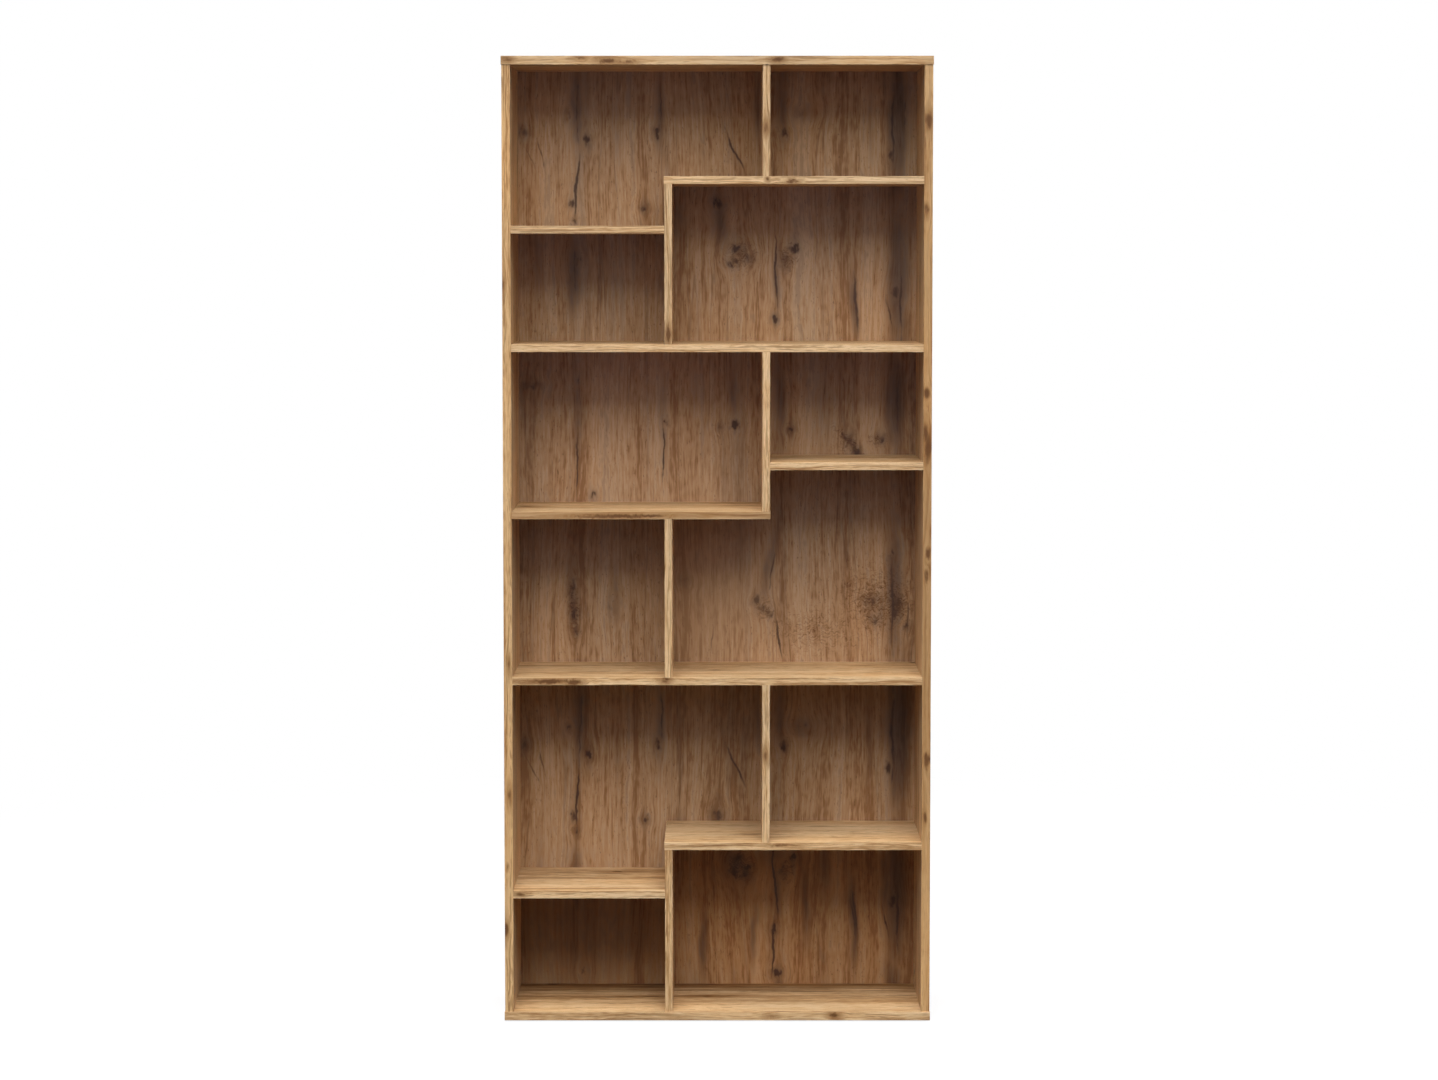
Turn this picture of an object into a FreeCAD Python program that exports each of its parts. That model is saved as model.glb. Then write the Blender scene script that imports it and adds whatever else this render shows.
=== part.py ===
import FreeCAD, Part
import os

# Staircase bookshelf: flat boards in a stepped layout, held by dowels, cams and screws.
# Sizes are in millimetres. +Z is up, +X is to the right seen from the front, the front
# faces -Y, and the origin lies on the floor under the middle of the case.

# Case and boards
case_width = 900.0
case_depth = 320.0
outer_board = 18.0
inner_board = 16.0
cover_side_overhang = 1.0
cover_front_overhang = 2.0
inner_setback = 1.0

# Clear heights between boards, and the distance of both divider columns from the middle
bottom_row_clear = 345.0
row_clear = 334.0
nook_clear = 231.0
low_nook_clear = 242.0
divider_offset = 102.5

# Edge bands, with their outer long edges scraped round
band_thickness = 1.0
band_ease = 0.4

# Back panels, set into a rebate and parted behind the two full-width shelves
back_thickness = 3.0
back_recess = 5.0
rebate_width = 9.0
back_clearance = 1.0
back_seam = 1.0

# Where the fittings of a joint lie, from the front and the rear of the inner boards
fitting_inset = 45.0

# Wooden dowels
dowel_diameter = 8.0
dowel_in_end = 20.0
dowel_in_face = 10.0
dowel_chamfer = 1.0
dowel_clearance = 0.1
dowel_end_gap = 0.5

# Cam housings and the bolts that they draw in
cam_diameter = 15.0
cam_skirt = 1.3
cam_distance = 34.0
cam_clearance = 0.1
cam_slot_length = 8.0
cam_slot_width = 2.0
cam_slot_depth = 2.5
bolt_shank_diameter = 6.4
bolt_thread_diameter = 4.8
bolt_thread_length = 10.0
bolt_clearance = 0.2
bolt_end_gap = 0.5

# One-piece shelf screws with countersunk heads, and the discs that cover the heads
screw_length = 50.0
screw_core_diameter = 4.8
screw_shank_diameter = 7.0
screw_head_diameter = 10.0
screw_head_height = 3.5
screw_clearance = 0.1
screw_end_gap = 0.5
cover_disc_diameter = 13.0
cover_disc_thickness = 0.6

# Nail-on floor glides
glide_diameter = 22.0
glide_height = 3.0
glide_rim = 1.0
glide_nail_diameter = 2.0
glide_nail_length = 10.0
glide_nail_clearance = 0.05
glide_end_gap = 0.5
glide_inset = 42.0

# How far every cutting tool runs past the face that it starts from
overrun = 2.0

LEFT = FreeCAD.Vector(-1, 0, 0)
RIGHT = FreeCAD.Vector(1, 0, 0)
FRONT = FreeCAD.Vector(0, -1, 0)
UP = FreeCAD.Vector(0, 0, 1)
DOWN = FreeCAD.Vector(0, 0, -1)
ORIGIN = FreeCAD.Vector(0, 0, 0)
FULL_TURN = 360
PARALLEL_SHARE = 0.99

# Planes from left to right
case_right = case_width / 2
side_right = case_right - cover_side_overhang
inner_right = side_right - outer_board
column_inner = divider_offset - inner_board / 2
column_outer = divider_offset + inner_board / 2
rebate_right = inner_right + rebate_width

# Planes from front to back
front_y = -case_depth / 2
rear_y = case_depth / 2
side_front_y = front_y + cover_front_overhang
inner_front_y = side_front_y + inner_setback
inner_rear_y = rear_y - back_recess - back_thickness
front_fit_y = inner_front_y + fitting_inset
rear_fit_y = inner_rear_y - fitting_inset
middle_fit_y = (front_fit_y + rear_fit_y) / 2

# Undersides of the boards, from the floor up
bottom_board_z = glide_height
bottom_board_top = bottom_board_z + outer_board
lower_step_z = bottom_board_top + bottom_row_clear
lower_full_z = lower_step_z + inner_board + row_clear
middle_step_z = lower_full_z + inner_board + row_clear
upper_full_z = middle_step_z + inner_board + row_clear
upper_step_z = upper_full_z + inner_board + row_clear
top_board_z = upper_step_z + inner_board + nook_clear
lower_nook_z = bottom_board_top + low_nook_clear
middle_nook_z = upper_full_z - nook_clear - inner_board
upper_nook_z = upper_full_z + inner_board + nook_clear

nodes = {}
spans = {}
cuts = {}
fittings = {
    "wooden_dowels": [],
    "cam_housings": [],
    "cam_bolts": [],
    "shelf_screws": [],
    "screw_cover_discs": [],
    "floor_glides": [],
}


def block(x0, x1, y0, y1, z0, z1):
    return Part.makeBox(x1 - x0, y1 - y0, z1 - z0, FreeCAD.Vector(x0, y0, z0))


def rod(radius, start, end):
    """A round bar along the local Z axis."""
    return Part.makeCylinder(radius, end - start, UP * start)


def turned(profile):
    """A solid of revolution about the local Z axis, from (radius, height) points."""
    points = [FreeCAD.Vector(radius, 0, height) for radius, height in profile]
    wire = Part.makePolygon(points + points[:1])
    return Part.Face(wire).revolve(ORIGIN, UP, FULL_TURN)


def edge_band(strip, outward, along):
    """Round the two long edges on the outer face of a glued strip."""
    outer_edges = []
    for edge in strip.Edges:
        run = edge.Vertexes[1].Point.sub(edge.Vertexes[0].Point)
        on_outer_face = edge.CenterOfMass.sub(strip.CenterOfMass).dot(outward) > 0
        if on_outer_face and abs(run.dot(along)) > run.Length * PARALLEL_SHARE:
            outer_edges.append(edge)
    return strip.makeFillet(band_ease, outer_edges)


def add_board(name, x0, x1, y0, y1, z0, z1, along, banded_ends=()):
    """Add a board core, its front band and its end bands. The bands lie outside x0 to x1
    and inside y0 to y1."""
    core_y0 = y0 + band_thickness
    nodes[name] = block(x0, x1, core_y0, y1, z0, z1)
    spans[name] = (x0, x1, z0, z1)
    cuts[name] = []
    left, right = x0, x1
    if LEFT in banded_ends:
        left = x0 - band_thickness
        strip = block(left, x0, core_y0, y1, z0, z1)
        nodes[name + "_left_band"] = edge_band(strip, LEFT, FRONT)
    if RIGHT in banded_ends:
        right = x1 + band_thickness
        strip = block(x1, right, core_y0, y1, z0, z1)
        nodes[name + "_right_band"] = edge_band(strip, RIGHT, FRONT)
    strip = block(left, right, y0, core_y0, z0, z1)
    nodes[name + "_front_band"] = edge_band(strip, FRONT, along)


def add_cover(name, z0):
    """Add the top or bottom board, banded on its front and both ends."""
    end = case_right - band_thickness
    add_board(name, -end, end, front_y, rear_y, z0, z0 + outer_board, RIGHT, (LEFT, RIGHT))


def add_side(name, x0):
    """Add a side, which stands between the bottom and the top board."""
    add_board(name, x0, x0 + outer_board, side_front_y, rear_y, bottom_board_top, top_board_z, UP)


def add_shelf(name, x0, x1, z0, banded_ends=()):
    add_board(name, x0, x1, inner_front_y, inner_rear_y, z0, z0 + inner_board, RIGHT, banded_ends)


def add_divider(name, column, standing_on, below):
    """Add a divider in the left (-1) or right (+1) column, from one level up to the next."""
    centre = column * divider_offset
    x0 = centre - inner_board / 2
    add_board(name, x0, x0 + inner_board, inner_front_y, inner_rear_y, standing_on, below, UP)


def joint_place(point, into_face, pocket_side):
    """The frame of one fitting: local Z runs from the end board into the face board."""
    across = into_face.cross(pocket_side)
    turn = FreeCAD.Rotation(pocket_side, across, into_face, "ZXY")
    return FreeCAD.Placement(point, turn).toMatrix()


def dowel_fitting(end_thickness, face_thickness):
    radius = dowel_diameter / 2
    hole = rod(radius + dowel_clearance, -dowel_in_end - dowel_end_gap, dowel_in_face + dowel_end_gap)
    dowel = turned([
        (0, -dowel_in_end),
        (radius - dowel_chamfer, -dowel_in_end),
        (radius, dowel_chamfer - dowel_in_end),
        (radius, dowel_in_face - dowel_chamfer),
        (radius - dowel_chamfer, dowel_in_face),
        (0, dowel_in_face),
    ])
    return hole, {"wooden_dowels": dowel}


def cam_fitting(end_thickness, face_thickness):
    """A bolt in the face board, and a slotted cam housing in a face of the end board. The
    housing reaches from that face to a skirt beyond the bolt."""
    cam_radius = cam_diameter / 2
    shank_radius = bolt_shank_diameter / 2
    thread_radius = bolt_thread_diameter / 2
    mouth = end_thickness / 2
    room = shank_radius + bolt_clearance
    floor = -shank_radius - cam_skirt
    cam_height = mouth - floor

    bolt = turned([
        (0, -cam_distance),
        (shank_radius, -cam_distance),
        (shank_radius, 0),
        (thread_radius, 0),
        (thread_radius, bolt_thread_length),
        (0, bolt_thread_length),
    ])
    bore = rod(room, -cam_distance - bolt_clearance, 0)
    pilot = rod(thread_radius + bolt_clearance, 0, bolt_thread_length + bolt_end_gap)
    pocket = Part.makeCylinder(
        cam_radius + cam_clearance,
        cam_height + cam_clearance + overrun,
        FreeCAD.Vector(floor - cam_clearance, 0, -cam_distance),
        RIGHT,
    )
    hole = pocket.fuse([bore, pilot])

    housing = Part.makeCylinder(cam_radius, cam_height, FreeCAD.Vector(floor, 0, -cam_distance), RIGHT)
    notch = block(floor - overrun, room, -room, room, -cam_distance - room, cam_radius - cam_distance)
    slot = block(
        mouth - cam_slot_depth,
        mouth + overrun,
        -cam_slot_width / 2,
        cam_slot_width / 2,
        -cam_distance - cam_slot_length / 2,
        cam_slot_length / 2 - cam_distance,
    )
    return hole, {"cam_housings": housing.cut([notch, slot]), "cam_bolts": bolt}


def screw_profile(face_thickness, growth, end_gap, head_run):
    """Half outline of a shelf screw, or of its hole when it is grown by a clearance."""
    core = screw_core_diameter / 2 + growth
    shank = screw_shank_diameter / 2 + growth
    head = screw_head_diameter / 2 + growth
    tip = face_thickness - screw_length - end_gap
    return [
        (0, tip),
        (core, tip),
        (core, 0),
        (shank, 0),
        (shank, face_thickness - screw_head_height),
        (head, face_thickness),
        (head, face_thickness + head_run),
        (0, face_thickness + head_run),
    ]


def screw_fitting(end_thickness, face_thickness):
    """A screw driven through the face board into the end board, under a cover disc."""
    hole = turned(screw_profile(face_thickness, screw_clearance, screw_end_gap, overrun))
    screw_points = screw_profile(face_thickness, 0, 0, 0)
    screw = turned(screw_points[:-2] + screw_points[-1:])
    disc = rod(cover_disc_diameter / 2, face_thickness, face_thickness + cover_disc_thickness)
    return hole, {"shelf_screws": screw, "screw_cover_discs": disc}


def join(end_board, face_board, into_face, kinds, pocket_side=FRONT):
    """Drill both boards of a butt joint and fill the holes, at each fitting's place in depth."""
    end_x0, end_x1, end_z0, end_z1 = spans[end_board]
    face_x0, face_x1, face_z0, face_z1 = spans[face_board]
    if into_face in (LEFT, RIGHT):
        x = end_x1 if into_face == RIGHT else end_x0
        z = (end_z0 + end_z1) / 2
        end_thickness = end_z1 - end_z0
        face_thickness = face_x1 - face_x0
    else:
        x = (end_x0 + end_x1) / 2
        z = end_z1 if into_face == UP else end_z0
        end_thickness = end_x1 - end_x0
        face_thickness = face_z1 - face_z0
    for make_fitting, y in kinds:
        place = joint_place(FreeCAD.Vector(x, y, z), into_face, pocket_side)
        hole, pieces = make_fitting(end_thickness, face_thickness)
        tool = hole.transformed(place)
        cuts[end_board].append(tool)
        cuts[face_board].append(tool)
        for group, piece in pieces.items():
            fittings[group].append(piece.transformed(place))


# Boards of the case
add_cover("bottom_board", bottom_board_z)
add_cover("top_board", top_board_z)
add_side("left_side", -side_right)
add_side("right_side", inner_right)

# Shelves, from the top down
add_shelf("upper_step_shelf", -column_outer, inner_right, upper_step_z, (LEFT,))
add_shelf("upper_nook_shelf", -inner_right, -column_outer, upper_nook_z)
add_shelf("upper_full_shelf", -inner_right, inner_right, upper_full_z)
add_shelf("middle_nook_shelf", column_outer, inner_right, middle_nook_z)
add_shelf("middle_step_shelf", -inner_right, column_outer, middle_step_z, (RIGHT,))
add_shelf("lower_full_shelf", -inner_right, inner_right, lower_full_z)
add_shelf("lower_step_shelf", -column_outer, inner_right, lower_step_z, (LEFT,))
add_shelf("lower_nook_shelf", -inner_right, -column_outer, lower_nook_z)

# Dividers, from the top down, which change columns at every level
add_divider("top_divider", 1, upper_step_z + inner_board, top_board_z)
add_divider("upper_divider", -1, upper_full_z + inner_board, upper_step_z)
add_divider("upper_middle_divider", 1, middle_step_z + inner_board, upper_full_z)
add_divider("lower_middle_divider", -1, lower_full_z + inner_board, middle_step_z)
add_divider("lower_divider", 1, lower_step_z + inner_board, lower_full_z)
add_divider("bottom_divider", -1, bottom_board_top, lower_step_z)

# Rebates for the back: open along the sides, stopped short of the ends of the covers
for name, edge_x in (("left_side", -inner_right), ("right_side", inner_right)):
    outer_x = rebate_right if edge_x > 0 else -rebate_right
    cuts[name].append(
        block(
            min(edge_x, outer_x),
            max(edge_x, outer_x),
            inner_rear_y,
            rear_y + overrun,
            bottom_board_top - overrun,
            top_board_z + overrun,
        )
    )
for name, z0 in (("bottom_board", bottom_board_top - rebate_width), ("top_board", top_board_z)):
    cuts[name].append(block(-rebate_right, rebate_right, inner_rear_y, rear_y + overrun, z0, z0 + rebate_width))

# Back panels
back_right = rebate_right - back_clearance
lower_seam_z = lower_full_z + inner_board / 2
upper_seam_z = upper_full_z + inner_board / 2
back_bottom_z = bottom_board_top - rebate_width + back_clearance
back_top_z = top_board_z + rebate_width - back_clearance
for name, z0, z1 in (
    ("lower_back_panel", back_bottom_z, lower_seam_z - back_seam / 2),
    ("middle_back_panel", lower_seam_z + back_seam / 2, upper_seam_z - back_seam / 2),
    ("upper_back_panel", upper_seam_z + back_seam / 2, back_top_z),
):
    nodes[name] = block(-back_right, back_right, inner_rear_y, inner_rear_y + back_thickness, z0, z1)

# Joints drawn tight by cams: case corners and the ends of the full-width shelves
drawn_joint = ((cam_fitting, front_fit_y), (dowel_fitting, middle_fit_y), (cam_fitting, rear_fit_y))
for side, inward in (("left_side", RIGHT), ("right_side", LEFT)):
    join(side, "bottom_board", DOWN, drawn_joint, inward)
    join(side, "top_board", UP, drawn_joint, inward)
for shelf in ("upper_full_shelf", "lower_full_shelf"):
    join(shelf, "left_side", LEFT, drawn_joint, DOWN)
    join(shelf, "right_side", RIGHT, drawn_joint, DOWN)

# Joints driven up by screws: step corners, and nook shelves against dividers
screwed_joint = ((screw_fitting, front_fit_y), (screw_fitting, rear_fit_y))
for end_board, face_board, into_face in (
    ("upper_divider", "upper_step_shelf", UP),
    ("upper_middle_divider", "middle_step_shelf", DOWN),
    ("bottom_divider", "lower_step_shelf", UP),
    ("upper_nook_shelf", "upper_divider", RIGHT),
    ("middle_nook_shelf", "upper_middle_divider", LEFT),
    ("lower_nook_shelf", "bottom_divider", RIGHT),
):
    join(end_board, face_board, into_face, screwed_joint)

# Joints located by dowels alone
doweled_joint = ((dowel_fitting, front_fit_y), (dowel_fitting, rear_fit_y))
for end_board, face_board, into_face in (
    ("upper_step_shelf", "right_side", RIGHT),
    ("upper_nook_shelf", "left_side", LEFT),
    ("middle_nook_shelf", "right_side", RIGHT),
    ("middle_step_shelf", "left_side", LEFT),
    ("lower_step_shelf", "right_side", RIGHT),
    ("lower_nook_shelf", "left_side", LEFT),
    ("top_divider", "top_board", UP),
    ("top_divider", "upper_step_shelf", DOWN),
    ("upper_divider", "upper_full_shelf", DOWN),
    ("upper_middle_divider", "upper_full_shelf", UP),
    ("lower_middle_divider", "middle_step_shelf", UP),
    ("lower_middle_divider", "lower_full_shelf", DOWN),
    ("lower_divider", "lower_full_shelf", UP),
    ("lower_divider", "lower_step_shelf", DOWN),
    ("bottom_divider", "bottom_board", DOWN),
):
    join(end_board, face_board, into_face, doweled_joint)

# Floor glides, in two rows of three under the bottom board
glide_radius = glide_diameter / 2
glide_nail_radius = glide_nail_diameter / 2
glide = turned([
    (0, 0),
    (glide_radius - glide_rim, 0),
    (glide_radius, glide_rim),
    (glide_radius, glide_height),
    (glide_nail_radius, glide_height),
    (glide_nail_radius, glide_height + glide_nail_length),
    (0, glide_height + glide_nail_length),
])
nail_hole = rod(
    glide_nail_radius + glide_nail_clearance,
    glide_height - overrun,
    glide_height + glide_nail_length + glide_end_gap,
)
for x in (glide_inset - case_right, 0, case_right - glide_inset):
    for y in (front_y + glide_inset, rear_y - glide_inset):
        place = FreeCAD.Placement(FreeCAD.Vector(x, y, 0), FreeCAD.Rotation()).toMatrix()
        fittings["floor_glides"].append(glide.transformed(place))
        cuts["bottom_board"].append(nail_hole.transformed(place))

for name, tools in cuts.items():
    nodes[name] = nodes[name].cut(tools)
for name, pieces in fittings.items():
    nodes[name] = Part.makeCompound(pieces)

os.makedirs("parts", exist_ok=True)
for name, shape in nodes.items():
    shape.exportStep("parts/" + name + ".step")
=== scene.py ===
import math
from typing import NamedTuple

import bmesh
import bpy
from bpy.props import FloatProperty, FloatVectorProperty, IntProperty, PointerProperty
from mathutils import Matrix, Vector


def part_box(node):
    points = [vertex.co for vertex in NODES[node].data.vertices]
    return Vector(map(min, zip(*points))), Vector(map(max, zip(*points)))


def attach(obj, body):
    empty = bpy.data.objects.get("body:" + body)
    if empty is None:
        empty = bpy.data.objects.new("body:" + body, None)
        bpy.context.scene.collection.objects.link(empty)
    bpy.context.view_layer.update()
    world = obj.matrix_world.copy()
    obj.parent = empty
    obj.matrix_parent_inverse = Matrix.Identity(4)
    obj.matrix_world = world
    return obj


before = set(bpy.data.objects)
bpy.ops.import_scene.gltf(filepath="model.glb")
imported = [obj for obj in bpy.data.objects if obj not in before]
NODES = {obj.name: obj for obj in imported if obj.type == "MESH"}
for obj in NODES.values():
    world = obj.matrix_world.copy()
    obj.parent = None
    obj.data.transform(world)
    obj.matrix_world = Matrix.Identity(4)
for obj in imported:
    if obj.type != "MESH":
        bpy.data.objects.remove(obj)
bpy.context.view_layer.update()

bl_info = {
    "name": "Staircase Bookshelf",
    "version": (1, 0, 0),
    "blender": (4, 5, 0),
    "location": "3D View > Sidebar > Bookshelf",
    "description": "Knotty oak finish, back nails and studio for a stepped board bookshelf",
    "category": "Object",
}

# Planes of the case that finishes and nails follow, in metres
BACK_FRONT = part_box("middle_back_panel")[0].y
BACK_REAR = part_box("middle_back_panel")[1].y
BACK_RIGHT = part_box("middle_back_panel")[1].x
CASE_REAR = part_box("right_side")[1].y
CASE_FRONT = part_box("top_board")[0].y
BACK_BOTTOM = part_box("lower_back_panel")[0].z
BACK_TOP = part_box("upper_back_panel")[1].z
BOTTOM_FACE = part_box("bottom_board")[1].z

# Bounds of the lowest row, behind which the back gets a warmer, darker tint as painted shade
LOW_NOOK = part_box("lower_nook_shelf")[0].z
LOW_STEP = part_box("lower_step_shelf")[0].z
LOW_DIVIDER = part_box("bottom_divider")[0].x

# The print on the back repeats after this length, so its marks come again that far below
PRINT_LENGTH = 1.335

# The marks are listed in millimetres
METRE = 1000


def in_metres(*marks):
    """Marks with their places and half sizes in metres."""
    return [(*(size / METRE for size in mark[:4]), *mark[4:]) for mark in marks]


# Knots in the print, the last ones behind the lowest row: x, z, half width, half height, depth of colour
BACK_KNOTS = in_metres(
    (-322, 1921, 7, 11, 0.55),
    (-282, 1865, 8, 14, 0.90),
    (-158, 1720, 8, 9, 0.85),
    (-130, 1884, 8, 16, 0.85),
    (-420, 1884, 10, 14, 0.60),
    (144, 1882, 9, 14, 0.85),
    (185, 1924, 18, 14, 0.45),
    (375, 1834, 7, 18, 0.80),
    (-314, 1729, 7, 12, 0.80),
    (-309, 1694, 7, 9, 0.95),
    (-306, 1603, 10, 14, 0.55),
    (2, 1729, 13, 14, 0.80),
    (41, 1635, 18, 12, 0.70),
    (34, 1603, 14, 10, 0.75),
    (66, 1613, 12, 10, 0.60),
    (168, 1635, 11, 12, 1.00),
    (142, 1607, 12, 18, 0.55),
    (125, 1480, 7, 12, 0.95),
    (386, 1537, 10, 16, 0.85),
    (-272, 1098, 8, 8, 0.75),
    (-114, 1256, 6, 8, 0.85),
    (39, 1251, 9, 11, 1.00),
    (7, 1246, 6, 7, 0.60),
    (-405, 1336, 20, 6, 0.50),
    (159, 1241, 8, 8, 0.95),
    (290, 1218, 9, 16, 0.65),
    (303, 1190, 10, 10, 0.85),
    (358, 1219, 12, 12, 0.65),
    (-71, 910, 11, 9, 0.60),
    (85, 866, 9, 10, 0.95),
    (98, 850, 8, 9, 0.70),
    (115, 838, 8, 10, 0.80),
    (338, 866, 16, 12, 0.55),
    (345, 823, 14, 12, 0.60),
    (390, 840, 12, 18, 0.65),
    (413, 810, 8, 8, 0.70),
    (382, 971, 8, 14, 0.75),
    (-318, 890, 9, 24, 0.75),
    (-312, 836, 9, 16, 0.75),
    (-309, 803, 7, 12, 0.75),
    (-226, 853, 9, 24, 0.45),
    (131, 44, 12, 10, 0.95),
    (62, 262, 14, 20, 0.55),
    (-296, 50, 8, 10, 0.70),
)

# Burls in the print, where small knots crowd: x, z, half width, half height, depth of colour, any lean
BACK_BURLS = in_metres(
    (52, 1617, 38, 38, 0.62),
    (155, 1612, 22, 34, 0.58),
    (392, 856, 34, 40, 0.80),
    (325, 866, 42, 32, 0.66),
    (332, 832, 36, 24, 0.58),
    (272, 815, 24, 22, 0.44),
    (286, 900, 20, 18, 0.52),
    (290, 775, 26, 26, 0.40),
    (287, 1213, 14, 34, 0.86, -0.9),
    (280, 1208, 34, 32, 0.45),
    (345, 1216, 26, 16, 0.56),
    (102, 848, 26, 30, 0.60),
    (-313, 850, 14, 60, 0.62),
    (350, 865, 90, 85, 0.62),
    (210, 800, 110, 65, 0.46),
)

# Paler stretches of the print: x, z, half width, half height, strength
BACK_PALE_PATCHES = in_metres((-20, 900, 100, 200, 0.45))

# Cracks in the print: x, z, half width, half height, depth of colour, any lean
BACK_CRACKS = in_metres(
    (-302, 1930, 2.6, 85, 0.55, 0.04),
    (-307, 1765, 3, 80, 0.95, 0.05),
    (-122, 1950, 2.6, 60, 0.60),
    (-383, 1841, 3, 40, 0.55, -0.23),
    (-407, 1832, 3, 45, 0.45, -0.50),
    (38, 1842, 3.4, 55, 0.75, -0.43),
    (381, 1895, 3.6, 105, 0.75),
    (408, 1920, 3, 80, 0.50),
    (-309, 1580, 3, 70, 0.50),
    (127, 1585, 2.8, 95, 0.90, -0.04),
    (300, 1515, 4.2, 70, 0.80, -0.06),
    (372, 1490, 3, 50, 0.60, -0.17),
    (397, 1510, 3.6, 90, 0.70),
    (-303, 1165, 3.2, 75, 0.75),
    (-300, 1330, 2.6, 60, 0.45),
    (-117, 1190, 2.4, 80, 0.80, 0.02),
    (390, 1290, 4, 90, 0.55),
    (133, 785, 3, 50, 0.90, -0.17),
    (119, 930, 3, 60, 0.60, 0.17),
    (382, 860, 3.6, 130, 0.75),
    (418, 820, 3, 60, 0.50),
    (-11, 780, 2.4, 45, 0.55, 0.08),
    (122, 100, 2.8, 75, 0.90, 0.02),
    (296, 170, 4, 60, 0.70, -0.10),
)

# Grey streaks in the print, the last ones behind the lowest row, listed like its cracks; the broadest one,
# behind the bottom-left nook, is painted shade
BACK_STREAKS = in_metres(
    (-303, 1930, 20, 130, 0.70),
    (-306, 1760, 14, 100, 0.45),
    (-218, 1870, 10, 90, 0.35),
    (-124, 1930, 14, 120, 0.60),
    (90, 1930, 12, 90, 0.55),
    (30, 1850, 12, 90, 0.40, -0.30),
    (140, 1940, 16, 100, 0.65),
    (331, 1900, 10, 120, 0.40),
    (392, 1900, 28, 180, 0.95),
    (-310, 1570, 20, 110, 0.75),
    (-385, 1600, 16, 90, 0.40),
    (-224, 1560, 14, 90, 0.35),
    (4, 1690, 20, 75, 0.65, -0.10),
    (-84, 1700, 20, 60, 0.45),
    (50, 1620, 30, 45, 0.40),
    (130, 1570, 12, 110, 0.60),
    (296, 1510, 14, 90, 0.70, -0.06),
    (392, 1560, 28, 180, 0.90),
    (-304, 1280, 16, 140, 0.50),
    (-117, 1260, 12, 140, 0.50),
    (36, 1310, 14, 90, 0.60),
    (-50, 1330, 14, 90, 0.35),
    (137, 1310, 18, 120, 0.65),
    (230, 1290, 35, 120, 0.35),
    (385, 1290, 26, 140, 0.85),
    (115, 950, 16, 130, 0.65, 0.17),
    (388, 900, 24, 190, 0.80),
    (345, 850, 40, 60, 0.45),
    (-316, 870, 16, 100, 0.60),
    (-223, 885, 12, 60, 0.50),
    # Painted shade: a broad darkening over the whole back of the bottom-left nook, not a streak of the
    # print
    (-290, 130, 220, 170, 0.62),
    (-32, 110, 12, 85, 0.75),
    (38, 290, 34, 55, 0.70),
    (80, 130, 10, 95, 0.62, 0.05),
    (193, 190, 13, 110, 0.60, -0.04),
    (240, 290, 16, 80, 0.50),
    (300, 120, 12, 90, 0.66),
    (372, 240, 18, 110, 0.70),
    (130, 310, 60, 45, 0.50),
)

# Knots on the front edges of lying boards: x, z, half length, half width, depth of colour
LYING_EDGE_KNOTS = in_metres(
    (-225, 2020.5, 24, 7, 0.97),
    (-283, 2026, 14, 4, 0.75),
    (-190, 2018, 26, 4, 0.65),
    (-436, 2022, 12, 7, 0.68),
    (125, 2023, 15, 6.5, 0.92),
    (157, 1772.5, 16, 5.5, 0.90),
    (105, 1775, 5, 7, 0.72),
    (-207, 1072.5, 70, 5.6, 0.97),
    (-140, 1073, 30, 4.6, 0.95),
    (-270, 1071, 38, 4.2, 0.75),
    (-360, 724, 46, 5.2, 0.90),
    (-300, 722, 16, 6.2, 0.88),
    (-110, 726, 13, 7, 0.78),
    (140, 377, 30, 2.6, 0.70),
    (-415, 272, 12, 5, 0.60),
    (248, 13.5, 12, 7.5, 0.92),
    (115, 12, 14, 4, 0.50),
)

# Knots on the front edges of standing boards: x, z, half width, half length, depth of colour
STANDING_EDGE_KNOTS = in_metres(
    (440, 1899, 8, 20, 0.95),
    (437, 1710, 5, 16, 0.72),
    (438, 1331, 8, 14, 0.95),
    (441, 1215, 9, 34, 0.97),
    (436, 1245, 5, 24, 0.95),
    (443, 995, 6, 16, 0.90),
    (440, 947, 6, 18, 0.90),
    (442, 558, 8, 18, 0.95),
    (438, 438, 5, 24, 0.68),
    (-447, 1556, 4, 12, 0.80),
    (-437, 484, 6, 26, 0.70),
    (-446, 196, 6, 18, 0.88),
    (-443, 329, 3, 8, 0.60),
    (-438, 757, 4, 20, 0.50),
    (102, 1884, 7, 16, 0.70),
    (102, 568, 7, 14, 0.70),
    (-102, 1453, 7.5, 20, 0.92),
)

# Darker stretches of the front edges: x, z, half width, half height, depth of colour
LYING_EDGE_STREAKS = in_metres(
    (-160, 1074, 500, 14, 0.72),
    (-330, 724, 80, 12, 0.50),
    (-220, 2022, 140, 12, 0.45),
    (130, 2022, 80, 12, 0.40),
    (0, 2022, 700, 14, 0.30),
)
STANDING_EDGE_STREAKS = in_metres(
    (440, 900, 40, 1400, 0.53),
    (440, 900, 20, 250, 0.55),
    (446, 1230, 5, 60, 0.95),
    (447, 1040, 3, 30, 0.85),
    (446, 955, 4, 40, 0.85),
    (-440, 430, 30, 250, 0.32),
)


def linear(red, green, blue):
    """A colour written in the 0 to 255 of a paint picker, as the shader takes it."""
    shares = [level / 255 for level in (red, green, blue)]
    return tuple(s / 12.92 if s <= 0.04045 else ((s + 0.055) / 1.055) ** 2.4 for s in shares)


def colour(name, description, *levels):
    """A colour property with a default in picker levels."""
    shown = dict(subtype="COLOR", size=3, min=0.0, max=1.0)
    return FloatVectorProperty(name=name, description=description, default=linear(*levels), **shown)


def length(name, description, default):
    """A length property in metres."""
    shown = dict(unit="LENGTH", precision=4)
    return FloatProperty(name=name, description=description, default=default, min=0.0, **shown)


def amount(name, description, default):
    """A plain number property."""
    return FloatProperty(name=name, description=description, default=default, min=0.0)


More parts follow.
